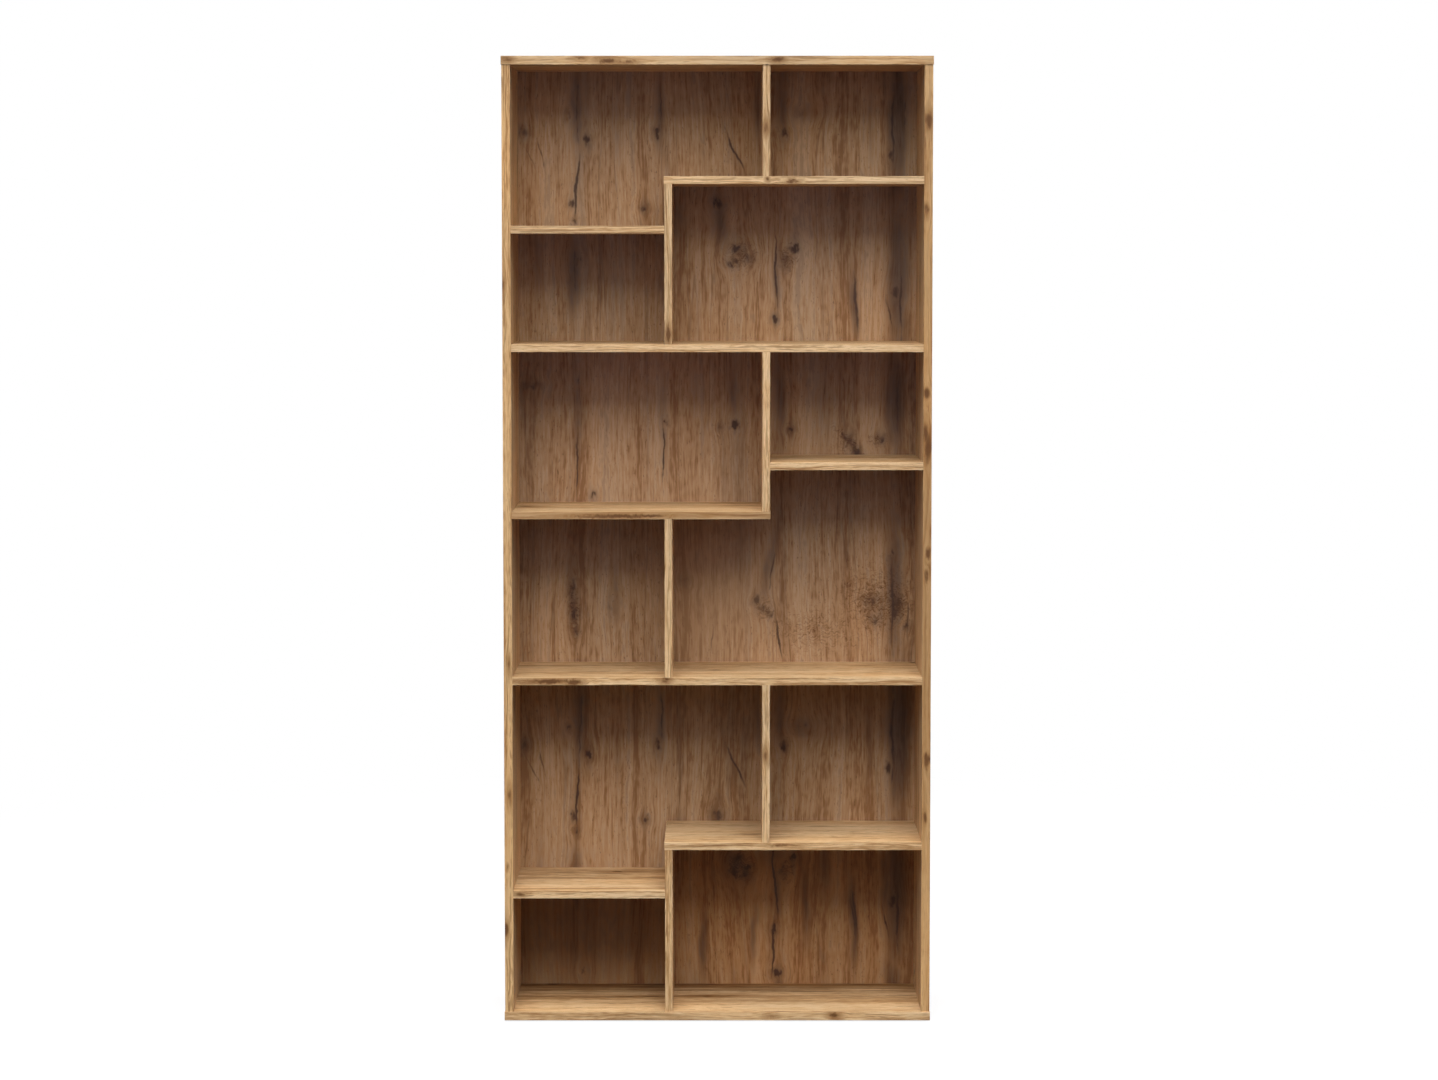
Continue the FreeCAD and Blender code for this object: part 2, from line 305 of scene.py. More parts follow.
def angle(name, description, degrees):
    """An angle property, given in degrees."""
    return FloatProperty(name=name, description=description, default=math.radians(degrees), subtype="ANGLE")


class OakSettings(bpy.types.PropertyGroup):
    """Colours and grain sizes of the oak decor."""

    pale: colour("Pale wood", "Lightest stripes between the growth lines", 224, 190, 146)
    middle: colour("Middle wood", "Main colour of the decor", 204, 164, 116)
    deep: colour("Deep wood", "Darker stripes along the grain", 162, 119, 74)
    # The grey stain also tints the painted shade on the back of the bottom-left nook
    grey_stain: colour("Grey stain", "Tint of the weathered streaks on the back", 138, 134, 146)
    # The brown stain also tints the painted shade at the rear of the bottom board's top
    brown_stain: colour("Brown stain", "Tint of the dark streaks on boards and edges", 152, 121, 62)
    grey_knot: colour("Grey knot", "Heart of the knots and cracks on the back", 58, 36, 22)
    brown_knot: colour("Brown knot", "Heart of the knots on boards and edges", 88, 52, 18)
    cool_tint: colour("Cool tint", "Tint of the greyer parts of a board", 242, 246, 252)
    back_tint: colour("Back tint", "Tint of the thinner print on the back panels", 207, 198, 193)
    # Painted shade: a warmer, darker tint on the back behind the lowest row of compartments
    low_row_shade_tint: colour("Low tint", "Further tint of that print behind the lowest row", 252, 237, 217)
    board_tint: colour("Board tint", "Tint of the foil on the boards", 255, 254, 250)
    edge_tint: colour("Edge tint", "Tint of the edge bands on shelves, dividers and covers", 255, 255, 252)
    side_edge_tint: colour("Side edge tint", "Tint of the edge bands on the sides", 255, 245, 225)
    band_width: length("Band width", "Width of the broad light and dark bands", 0.055)
    streak_width: length("Streak width", "Width of the stripes within a band", 0.013)
    ring_width: length("Ring width", "Spacing of the thin dark growth lines", 0.030)
    ripple_width: length("Ripple width", "Width of the short ripples across the stripes", 0.009)
    fibre_width: length("Fibre width", "Width of the fine fibres", 0.0032)
    knot_spacing: length("Knot spacing", "Distance across a board in which one knot may fall", 0.16)
    roughness: amount("Roughness", "Roughness of the satin foil", 0.56)


class CoreSettings(bpy.types.PropertyGroup):
    """Colours of the raw board materials."""

    chip_pale: colour("Pale chips", "Lighter chips of the board core", 206, 176, 130)
    chip_deep: colour("Deep chips", "Darker chips of the board core", 150, 112, 70)
    fibreboard: colour("Fibreboard", "Raw rear face of the back panels", 138, 98, 62)
    fibreboard_deep: colour("Fibreboard fibres", "Darker fibres on that face", 104, 70, 42)


class FittingSettings(bpy.types.PropertyGroup):
    """Colours of the fittings and sizes of the back nails."""

    beech: colour("Beech", "Wooden dowels", 214, 178, 132)
    zinc: colour("Zinc", "Die-cast cam housings", 168, 168, 164)
    steel: colour("Plated steel", "Bolts, screws and nails", 190, 184, 168)
    plastic: colour("Glide plastic", "Floor glides", 226, 222, 212)
    nail_head: length("Nail head", "Diameter of a back nail's head", 0.0042)
    nail_head_height: length("Nail head height", "How far a head stands on the panel", 0.0009)
    nail_shank: length("Nail shank", "Diameter of a back nail", 0.0014)
    nail_length: length("Nail length", "Length of a back nail under its head", 0.018)
    nail_spacing: length("Nail spacing", "Largest distance between back nails", 0.115)
    nail_seam_inset: length("Seam inset", "Distance of a nail row from a panel's edge", 0.0045)
    nail_margin: length("Nail margin", "Distance of a nail row's ends from the ends of a board", 0.05)
    nail_sides: IntProperty(name="Nail sides", description="Facets round a nail", default=12, min=6)


class StudioSettings(bpy.types.PropertyGroup):
    """Light, floor and camera."""

    key_power: amount("Key power", "Power of the large soft light in front", 18.5)
    key_distance: length("Key distance", "Distance of the front light from the front of the case", 3.5)
    key_height: length("Key height", "Height of the front light's middle above the floor", 5.97)
    key_width: length("Key width", "Width of the front light", 5.0)
    key_length: length("Key length", "Length of the front light towards the case", 8.4)
    key_slope: angle("Key slope", "Slope of the front light, which rises towards the case", 28)
    low_power: amount("Low power", "Power of the faint light under the front light", 0.7)
    low_distance: length("Low distance", "Distance of the faint light from the front of the case", 7.2)
    low_height: length("Low height", "Height of the faint light's middle above the floor", 3.1)
    low_rise: length("Low rise", "Height of the faint light's panel", 1.6)
    eye_light_power: amount("Eye light power", "Power of the faint cool light at eye level", 1.0)
    eye_light_distance: length("Eye light distance", "Distance of the cool light from the case", 1.3)
    eye_light_height: length("Eye light height", "Height of the cool light's middle above the floor", 1.25)
    eye_light_width: length("Eye light width", "Width of the cool light", 2.4)
    eye_light_rise: length("Eye light rise", "Height of the cool light's panel", 0.6)
    fill_strength: amount("Fill strength", "Strength of each of the two soft lights behind", 1.9)
    fill_height: angle("Fill height", "Angle of the rear lights above the floor", 24)
    fill_turn: angle("Fill turn", "Angle of the rear lights from the front", 130)
    fill_softness: angle("Fill softness", "Width of a rear light as seen from the case", 50)
    room_tint: colour("Room tint", "Colour of the light from all round", 152, 180, 255)
    room_light: amount("Room light", "Level of the light from all round", 0.06)
    floor_colour: colour("Floor", "Pale studio floor", 236, 236, 236)
    floor_bounce: colour("Floor bounce", "Floor as the case sees it", 12, 12, 12)
    floor_glow: amount("Floor glow", "Share of plain white in the floor as the camera sees it", 0.8)
    floor_fade: length("Floor fade", "Distance from the middle where the floor starts to turn white", 1.2)
    floor_width: length("Floor width", "Width of the floor", 60.0)
    eye_distance: length("Eye distance", "Distance of the camera from the front of the case", 7.9)
    eye_height: length("Eye height", "Height of the camera above the floor", 1.62)
    eye_right: length("Eye right", "Distance of the camera right of the middle", 0.0036)
    eye_tilt: angle("Eye tilt", "How far the camera looks down", 4.325)
    lens: FloatProperty(name="Lens", description="Focal length in millimetres", default=94.6, min=1.0)


class BookshelfSettings(bpy.types.PropertyGroup):
    """All settings of the bookshelf."""

    oak: PointerProperty(type=OakSettings)
    core: PointerProperty(type=CoreSettings)
    fittings: PointerProperty(type=FittingSettings)
    studio: PointerProperty(type=StudioSettings)


def find_socket(sockets, name):
    """The socket with that identifier, where an underscore may stand for a space."""
    for socket in sockets:
        if socket.identifier in (name, name.replace("_", " ")):
            return socket
    raise KeyError(f"no socket {name}")


class Value:
    """A value on a node's output. Arithmetic on numbers adds Math nodes."""

    def __init__(self, finish, node, socket):
        self.finish = finish
        self.node = node
        self.socket = socket

    def output(self, name):
        """Another output of the same node."""
        return Value(self.finish, self.node, find_socket(self.node.outputs, name))

    def math(self, operation, first, second):
        return self.finish.add("ShaderNodeMath", {"operation": operation}, Value=first, Value_001=second)

    def __add__(self, other):
        return self.math("ADD", self, other)

    def __radd__(self, other):
        return self.math("ADD", other, self)

    def __sub__(self, other):
        return self.math("SUBTRACT", self, other)

    def __rsub__(self, other):
        return self.math("SUBTRACT", other, self)

    def __mul__(self, other):
        return self.math("MULTIPLY", self, other)

    def __rmul__(self, other):
        return self.math("MULTIPLY", other, self)

    def __truediv__(self, other):
        return self.math("DIVIDE", self, other)

    def __rpow__(self, other):
        return self.math("POWER", other, self)

    def __gt__(self, other):
        return self.math("GREATER_THAN", self, other)

    def __lt__(self, other):
        return self.math("LESS_THAN", self, other)

    def __abs__(self):
        return self.finish.add("ShaderNodeMath", {"operation": "ABSOLUTE"}, Value=self)

    def larger(self, other):
        return self.math("MAXIMUM", self, other)

    def smaller(self, other):
        return self.math("MINIMUM", self, other)

    def swing(self, reach):
        """A number of 0 to 1 swung evenly to both sides."""
        return (self - 0.5) * reach


class Finish:
    """A node tree under construction, for a material, a light or the world."""

    def __init__(self, owner):
        self.owner = owner
        owner.use_nodes = True
        self.tree = owner.node_tree
        self.tree.nodes.clear()

    def add(self, kind, settings=None, **sockets):
        """Add a node, set its settings first, then give its sockets values or links."""
        node = self.tree.nodes.new(kind)
        for name, setting in (settings or {}).items():
            setattr(node, name, setting)
        for name, given in sockets.items():
            socket = find_socket(node.inputs, name)
            if isinstance(given, Value):
                self.tree.links.new(given.socket, socket)
            elif socket.type == "RGBA":
                socket.default_value = (*given[:3], 1.0)
            else:
                socket.default_value = given
        return Value(self, node, node.outputs[0] if node.outputs else None)

    def axes(self):
        """Object coordinates as three numbers by axis."""
        place = self.add("ShaderNodeTexCoord").output("Object")
        split = self.add("ShaderNodeSeparateXYZ", Vector=place)
        return {axis: split.output(axis) for axis in "XYZ"}

    def join(self, x, y, z):
        return self.add("ShaderNodeCombineXYZ", X=x, Y=y, Z=z)

    def vector(self, operation, first, second, third=(0.0, 0.0, 0.0)):
        settings = {"operation": operation}
        made = self.add("ShaderNodeVectorMath", settings, Vector=first, Vector_001=second, Vector_002=third)
        return made.output("Value") if operation == "DOT_PRODUCT" else made

    def scale(self, vector, factor):
        return self.add("ShaderNodeVectorMath", {"operation": "SCALE"}, Vector=vector, Scale=factor)

    def whole(self, axes):
        """Three numbers by axis as one place."""
        return self.join(axes["X"], axes["Y"], axes["Z"])

    def swing(self, vector, reach):
        """A vector of 0 to 1 swung evenly to both sides."""
        return self.vector("MULTIPLY_ADD", vector, reach, tuple(-size / 2 for size in reach))

    def noise(self, vector, detail, roughness):
        return self.add("ShaderNodeTexNoise", Vector=vector, Scale=1.0, Detail=detail, Roughness=roughness)

    def texture(self, place, turns, detail=2.0, roughness=0.5):
        """Noise with so many turns a metre on each axis."""
        return self.noise(self.vector("MULTIPLY", place, turns), detail, roughness)

    def smooth(self, value, low, high):
        """0 below low and 1 above high, with a soft step between."""
        settings = {"interpolation_type": "SMOOTHSTEP"}
        return self.add("ShaderNodeMapRange", settings, Value=value, From_Min=low, From_Max=high)

    def mix(self, factor, first, second, blend="MIX"):
        settings = {"data_type": "RGBA", "blend_type": blend}
        made = self.add("ShaderNodeMix", settings, Factor_Float=factor, A_Color=first, B_Color=second)
        return made.output("Result_Color")

    def tinted(self, base, tint, share=1.0):
        """A colour multiplied by a tint, or by a share of it."""
        return self.mix(share, base, tint, "MULTIPLY")

    def surface(self, base, roughness, height, relief=0.0004, strength=0.6, **constants):
        """A Principled surface with a bump from a height of 0 to 1."""
        normal = self.add("ShaderNodeBump", Strength=strength, Distance=relief, Height=height)
        sockets = dict(Base_Color=base, Roughness=roughness, Normal=normal, **constants)
        shader = self.add("ShaderNodeBsdfPrincipled", **sockets)
        self.add("ShaderNodeOutputMaterial", Surface=shader)
        return self.owner


def new_finish(name):
    return Finish(bpy.data.materials.new(name))


class Figure(NamedTuple):
    """How far knots pull the grain aside, and where each kind of mark darkens it."""

    pull: Value
    knot: Value
    smudge: Value
    crack: Value
    streak: Value
    burl: Value = None


def oak_decor(shade, tint, fineness, contrast, fleck, lift):
    """A print of the oak: shade of marks, tint, scale of grain, contrast, depth of flecks, paleness."""
    return dict(shade=shade, tint=tint, fineness=fineness, contrast=contrast, fleck=fleck, lift=lift)


BACK_DECOR = oak_decor("grey", "back_tint", fineness=1.0, contrast=1.0, fleck=0.36, lift=0.0)
LYING_BOARD_DECOR = oak_decor("brown", "board_tint", fineness=0.9, contrast=1.2, fleck=0.80, lift=0.04)
# Painted light: the sides and dividers take a paler copy of the lying boards' decor, so their inner faces
# look brighter lit
STANDING_BOARD_PAINTED_LIGHT_DECOR = {**LYING_BOARD_DECOR, "lift": 0.12}
EDGE_DECOR = oak_decor("brown", "edge_tint", fineness=0.4, contrast=1.5, fleck=0.65, lift=0.05)
SIDE_EDGE_DECOR = {**EDGE_DECOR, "tint": "side_edge_tint"}

# A mark fades as this share to the power of its squared distance
NEARNESS = math.exp(-1)

# A knot's tail in shares of the knot, and how its smudge and its pull on the grain fade
TAIL_WIDTH = 1.2
TAIL_HEIGHT = 3.6
TAIL_DEPTH = 0.6
SMUDGE_FADE = 0.14
PULL_REACH = 2.4
PULL_FADE = NEARNESS ** (1 / PULL_REACH**2)
KNOT_PULL = 0.7

# How drawn marks wander and gnarl: turns a metre across, through and up, and the reach in metres
WANDER_TURNS = (9.0, 0.0, 9.0)
GNARL_TURNS = (95.0, 0.0, 55.0)
GNARL_RISE = 1.5
CRACK_GNARL = 0.3
BACK_WANDER = 0.024
BACK_GNARL = 0.018
EDGE_GNARL = 0.006

# Curly flecks in a burl: turns a metre, and weight and edges in its stain and in its small knots
CURL_TURNS = (105.0, 0.0, 250.0)
STAIN_CURL = 1.7
KNOT_CURL = 1.8
BURL_EDGE = (0.24, 0.92)
BURL_KNOT_EDGE = (0.70, 1.05)
BURL_KNOT_DEPTH = 0.75


def near_mark(f, place, rise, mark):
    """Steps away from a mark in its half sizes, and their square, which starts higher for a faint mark."""
    x, z, half_width, half_height, depth, *lean = mark
    faint = math.sqrt(-math.log(depth))
    if lean:
        place = f.vector("MULTIPLY_ADD", rise, (-lean[0], 0.0, 0.0), place)
        x -= lean[0] * z
    sizes = (1 / half_width, 0.0, 1 / half_height)
    away = f.vector("MULTIPLY_ADD", place, sizes, (-x / half_width, faint, -z / half_height))
    return away, f.vector("DOT_PRODUCT", away, away)


def nearest(f, place, rise, marks):
    """Square of the distance to the nearest mark."""
    found = near_mark(f, place, rise, marks[0])[1]
    for mark in marks[1:]:
        found = found.smaller(near_mark(f, place, rise, mark)[1])
    return found


def knot_tail(mark):
    """The streak that a knot trails along the grain."""
    x, z, half_width, half_height, depth = mark
    return x, z, half_width * TAIL_WIDTH, half_height * TAIL_HEIGHT, depth * TAIL_DEPTH


def drawn_figure(knots, burls, cracks, streaks, gnarl_reach, wander_reach):
    """Knots, burls, cracks and streaks at given places on an upright face."""

    def figure(f, axes, across, through, along):
        flat = f.join(axes["X"], 0.0, axes["Z"])
        rise = f.join(axes["Z"], 0.0, 0.0)
        wander = f.texture(flat, WANDER_TURNS).output("Color")
        wandered = f.vector("ADD", flat, f.swing(wander, (wander_reach, 0.0, 0.0)))
        gnarl = f.texture(flat, GNARL_TURNS).output("Color")
        gnarl = f.swing(gnarl, (gnarl_reach, 0.0, gnarl_reach * GNARL_RISE))
        streak = NEARNESS ** nearest(f, wandered, rise, [*streaks, *map(knot_tail, knots)])
        bent = f.vector("ADD", wandered, f.scale(gnarl, CRACK_GNARL))
        crack = NEARNESS ** nearest(f, bent, rise, cracks) if cracks else streak * 0.0
        place = f.vector("ADD", flat, gnarl)
        pull = (0.0, 0.0, 0.0)
        apart = None
        for mark in knots:
            away, distance = near_mark(f, place, rise, mark)
            apart = distance.smaller(apart) if apart else distance
            reach = PULL_FADE**distance * (min(mark[2:4]) * KNOT_PULL)
            pull = f.vector("ADD", f.scale(away, reach), pull)
        knot = NEARNESS**apart
        burl = None
        if burls:
            crowd = NEARNESS ** nearest(f, place, rise, burls)
            curls = f.texture(place, CURL_TURNS, roughness=0.6) - 0.5
            burl = f.smooth(crowd + curls * STAIN_CURL, *BURL_EDGE)
            knot = knot.larger(f.smooth(crowd + curls * KNOT_CURL, *BURL_KNOT_EDGE) * BURL_KNOT_DEPTH)
        shift = f.add("ShaderNodeSeparateXYZ", Vector=pull).output(across)
        return Figure(shift, knot, NEARNESS ** (apart * SMUDGE_FADE), crack, streak, burl)

    return figure


# A mark still shows so many half heights above and below its middle
MARK_REACH = 2


def panel_marks(panel, marks):
    """The marks that reach a back panel, from the print's first copy and the one below it."""
    low, high = (corner.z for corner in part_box(panel.name))
    copies = [(x, z - step, *rest) for step in (0.0, PRINT_LENGTH) for x, z, *rest in marks]
    return [mark for mark in copies if low - MARK_REACH * mark[3] < mark[1] < high + MARK_REACH * mark[3]]


def back_figure(panel):
    """The print's own knots, burls, cracks and streaks on one panel."""
    kinds = (panel_marks(panel, marks) for marks in (BACK_KNOTS, BACK_BURLS, BACK_CRACKS, BACK_STREAKS))
    return drawn_figure(*kinds, BACK_GNARL, BACK_WANDER)


def scattered_figure(spacing):
    """Knots strewn over a board, one at most in each cell of a stretched pattern."""
    stretch = 2.6
    half_width = 0.010
    half_height = 0.017
    drift_turns = 17.0
    cell_edge = (0.12, 0.25)
    rarity = 0.45
    tail_shape = (0.55, 0.16, 0.0)
    least_size = 0.4
    size_spread = 0.8
    least_depth = 0.8
    depth_spread = 0.3
    smudge_depth = 0.5

    def figure(f, axes, across, through, along):
        drift = axes[through] * drift_turns
        column = axes[across] * (1 / spacing) + drift
        row = axes[along] * (1 / (spacing * stretch)) + drift
        cell = f.join(column, row, 0.0)
        flat_cells = {"voronoi_dimensions": "2D"}
        cells = f.add("ShaderNodeTexVoronoi", flat_cells, Vector=cell, Scale=1.0, Randomness=0.5)
        inside = 1 - f.smooth(cells, *cell_edge)
        away = f.vector("SUBTRACT", cell, cells.output("Position"))
        away = f.vector("MULTIPLY", away, (spacing / half_width, spacing * stretch / half_height, 0.0))
        chance = f.add("ShaderNodeSeparateColor", Color=cells.output("Color"))
        size = least_size + chance.output("Green") * size_spread
        apart = f.vector("DOT_PRODUCT", away, away) / (size * size)
        there = (chance > rarity) * inside
        shift = f.add("ShaderNodeSeparateXYZ", Vector=away) * (half_width * KNOT_PULL)
        reach = PULL_FADE**apart * there
        knot = NEARNESS**apart * there * (least_depth + chance.output("Blue") * depth_spread)
        tail = f.vector("MULTIPLY", away, tail_shape)
        streak = NEARNESS ** f.vector("DOT_PRODUCT", tail, tail) * there * TAIL_DEPTH
        return Figure(shift * reach, knot, knot * smudge_depth, knot * 0.0, streak)

    return figure


# Bends of the grain: wave length across it in metres, stretch along it, detail, reach in metres
LONG_BEND = (0.2, 3.0, 1.0, 0.045)
SHORT_BEND = (0.06, 2.6, 2.0, 0.004)

# Layers of the grain: run along it in metres, seed, detail, roughness
GRAIN_LAYERS = {
    "bands": (1.2, 3.1, 3.0, 0.6),
    "stripes": (0.42, 7.7, 3.0, 0.6),
    "ripples": (0.026, 4.4, 1.0, 0.5),
    "fibres": (0.05, 1.3, 2.0, 0.65),
    "ticks": (0.009, 5.9, 2.0, 0.5),
    "weather": (0.7, 9.2, 2.0, 0.5),
    "rings": (0.9, 6.1, 1.0, 0.5),
}

# Width of the ticks in fibre widths, of the weathered bands in metres, and turns a metre of the rest
TICK_WIDTH = 0.7
WEATHER_WIDTH = 0.045
WARMTH_TURNS = (6.0, 6.0, 2.5)
RELIEF_TURNS = 14.0

# Weight of each layer in the tone of the wood, where the bands count 1, and half the span of tones
STRIPE_WEIGHT = 0.72
RIPPLE_WEIGHT = 0.45
FIBRE_WEIGHT = 0.8
TONE_MIDDLE = (1 + STRIPE_WEIGHT + RIPPLE_WEIGHT + FIBRE_WEIGHT) / 2
TONE_SPAN = 0.375

# Where a shade or a mark starts to show in its layers, and where it is full
MIDDLE_EDGE = (0.0, 0.5)
PALE_EDGE = (0.45, 1.0)
WARM_EDGE = (0.35, 0.65)
FLECK_EDGE = (0.61, 0.74)
HAIR_EDGE = (0.003, 0.020)
HAIR_BREAK = (0.85, 1.10)
WEATHER_EDGE = (0.56, 0.84)
STREAK_EDGE = (0.05, 0.90)
SMUDGE_EDGE = (0.35, 1.10)
PORE_EDGE = (0.63, 0.74)
HEART_EDGE = (0.30, 0.90)
SPLIT_EDGE = (0.18, 0.75)

# Depth of colour of the marks
WEATHER_DEPTH = 0.5
STREAK_DEPTH = 0.9
PORE_DEPTH = 0.56
BURL_DEPTH = 0.9
HEART_DEPTH = 0.92


def oak_surface(f, oak, along, across, figure, decor):
    """Axes, colour, roughness and height of the oak decor with its grain along an axis."""
    stain = getattr(oak, decor["shade"] + "_stain")
    heartwood = getattr(oak, decor["shade"] + "_knot")
    fineness, contrast, fleck, lift = (decor[name] for name in ("fineness", "contrast", "fleck", "lift"))
    axes = f.axes()
    through = next(axis for axis in "XYZ" if axis not in (along, across))
    drawn = figure(f, axes, across, through, along)
    place = f.join(axes[across], axes[through], axes[along])

    def bend(size, stretch, detail, reach):
        turns = 1 / (size * fineness)
        return f.texture(place, (turns, turns, turns / stretch), detail).swing(reach * fineness)

    sway = bend(*LONG_BEND) + bend(*SHORT_BEND)
    grain = f.join(axes[across] + sway - drawn.pull, axes[through], axes[along])

    def layer(name, width):
        run, seed, detail, roughness = GRAIN_LAYERS[name]
        turns = 1 / (width * fineness)
        start = (seed, seed * 2.3, seed * 1.7)
        return f.noise(f.vector("MULTIPLY_ADD", grain, (turns, turns, 1 / run), start), detail, roughness)

    bands = layer("bands", oak.band_width)
    stripes = layer("stripes", oak.streak_width)
    ripples = layer("ripples", oak.ripple_width)
    fibres = layer("fibres", oak.fibre_width)
    ticks = layer("ticks", oak.fibre_width * TICK_WIDTH)
    weather = layer("weather", WEATHER_WIDTH)
    warmth = f.texture(place, WARMTH_TURNS, detail=1.0)

    middle = TONE_MIDDLE - lift
    span = TONE_SPAN / contrast
    tone = bands + stripes * STRIPE_WEIGHT + ripples * RIPPLE_WEIGHT + fibres * FIBRE_WEIGHT
    tone = f.smooth(tone, middle - span, middle + span)
    base = f.mix(f.smooth(tone, *MIDDLE_EDGE), oak.deep, oak.middle)
    base = f.mix(f.smooth(tone, *PALE_EDGE), base, oak.pale)
    base = f.mix(f.smooth(warmth, *WARM_EDGE), f.tinted(base, oak.cool_tint), base)

    flecks = f.smooth(stripes + ripples.swing(0.4) + bands.swing(0.5), *FLECK_EDGE)
    rings = layer("rings", oak.ring_width)
    hairs = 1 - f.smooth(abs(rings - 0.5), *(edge / fineness for edge in HAIR_EDGE))
    hairs = hairs * f.smooth(ripples + weather, *HAIR_BREAK)
    dim = flecks.larger(hairs) * fleck
    ragged = fibres.swing(0.8) + ripples.swing(0.9)
    dim = dim.larger(f.smooth(weather + stripes.swing(0.5), *WEATHER_EDGE) * WEATHER_DEPTH)
    dim = dim.larger(f.smooth(drawn.streak + ragged * 0.5, *STREAK_EDGE) * STREAK_DEPTH)
    dim = dim.larger(f.smooth(drawn.smudge + ragged * 0.6, *SMUDGE_EDGE) * (0.2 + 0.4 * contrast))
    pores = f.smooth(ticks + stripes.swing(0.25), *PORE_EDGE)
    base = f.tinted(base, stain, dim.larger(pores * PORE_DEPTH))
    if drawn.burl:
        base = f.tinted(base, oak.brown_stain, drawn.burl * BURL_DEPTH)

    heart = f.smooth(drawn.knot + ragged, *HEART_EDGE)
    split = f.smooth(drawn.crack + ragged * 0.6, *SPLIT_EDGE)
    base = f.tinted(base, getattr(oak, decor["tint"]))
    dark = heart.larger(split).larger(hairs * (0.4 * (fleck - BACK_DECOR["fleck"])))
    base = f.mix(dark * HEART_DEPTH, base, heartwood)

    relief = f.texture(place, (1 / oak.fibre_width, 1 / oak.fibre_width, RELIEF_TURNS))
    roughness = oak.roughness + pores * 0.18 + heart * 0.1 - tone * 0.06
    return axes, base, roughness, relief


# Shine of the foil and the raw boards
SHINE = 0.25

# Slack in telling faces apart, room round the back panels, and depth of the print on them, in metres
FACE_SLACK = 0.0001
REBATE_ROOM = 0.0015
PRINT_DEPTH = 0.0003

# Scraped edges of the bands: where they start and end in the turn of the surface, and how pale they are
RUB_EDGE = (0.74, 0.98)
RUB_DEPTH = 0.35

# Textures of the raw boards: turns a metre, and where the fibres change shade
CHIP_TURNS = (420.0, 420.0, 420.0)
DUST_TURNS = (900.0, 900.0, 900.0)
CLOUD_TURNS = (5.0, 5.0, 7.0)
LINT_TURNS = (260.0, 260.0, 190.0)
LINT_EDGE = (0.42, 0.82)

# Painted shade at the rear of the bottom board's top, a brown darkening with a ragged edge: turns a metre,
# raggedness, where it starts and is full
REAR_SHADE_TURNS = (5.0, 90.0, 0.0)
REAR_SHADE_RAGGED = 0.30
REAR_SHADE_START = 0.0
REAR_SHADE_FULL = 0.16
REAR_SHADE_DEPTH = 0.90


def chipboard(f, core, axes):
    """Colour and height of pressed wood chips."""
    place = f.whole(axes)
    chips = f.add("ShaderNodeTexVoronoi", Vector=f.vector("MULTIPLY", place, CHIP_TURNS), Scale=1.0)
    chance = f.add("ShaderNodeSeparateColor", Color=chips.output("Color"))
    dust = f.texture(place, DUST_TURNS, detail=3.0)
    return f.mix(chance * 0.7 + dust * 0.4, core.chip_deep, core.chip_pale), chips * 0.6


def oak_board(name, settings, along, across, decor):
    """Oak on the faces of a board, with painted shade at the rear of the bottom board's top, and its raw
    core where the rear edge is left open.
    """
    f = new_finish(name)
    figure = scattered_figure(settings.oak.knot_spacing)
    axes, base, roughness, height = oak_surface(f, settings.oak, along, across, figure, decor)
    # Painted shade: the rear of the bottom board's top is darkened towards the back with the brown stain,
    # standing in for the shade there
    rear_shade_edge = f.texture(f.join(axes["X"], axes["Y"], 0.0), REAR_SHADE_TURNS, detail=3.0)
    depth = axes["Y"] + rear_shade_edge.swing(REAR_SHADE_RAGGED)
    on_bottom = abs(axes["Z"] - BOTTOM_FACE) < FACE_SLACK
    rear = f.smooth(depth, REAR_SHADE_START, REAR_SHADE_FULL) * on_bottom
    base = f.tinted(base, settings.oak.brown_stain, rear * REAR_SHADE_DEPTH)
    within = abs(axes["X"]) < BACK_RIGHT + REBATE_ROOM
    within = within * (axes["Z"] > BACK_BOTTOM - REBATE_ROOM) * (axes["Z"] < BACK_TOP + REBATE_ROOM)
    raw = (axes["Y"] > CASE_REAR - FACE_SLACK).larger((axes["Y"] > BACK_FRONT - FACE_SLACK) * within)
    chips, chip_height = chipboard(f, settings.core, axes)
    base = f.mix(raw, base, chips)
    roughness = roughness + raw * 0.3
    height = height * (1 - raw) + chip_height * raw
    return f.surface(base, roughness, height, Specular_IOR_Level=SHINE)


def oak_band(name, settings, along, across, figure, decor=EDGE_DECOR):
    """Oak on an edge band, with its scraped edges rubbed paler."""
    f = new_finish(name)
    axes, base, roughness, height = oak_surface(f, settings.oak, along, across, figure, decor)
    normal = f.add("ShaderNodeTexCoord").output("Normal")
    facing = f.add("ShaderNodeSeparateXYZ", Vector=f.vector("ABSOLUTE", normal, (0.0, 0.0, 0.0)))
    flat = facing.output("X").larger(facing.output("Y")).larger(facing.output("Z"))
    rubbed = 1 - f.smooth(flat, *RUB_EDGE)
    base = f.mix(rubbed * RUB_DEPTH, base, settings.oak.pale)
    return f.surface(base, roughness + rubbed * 0.08, height, Specular_IOR_Level=SHINE)


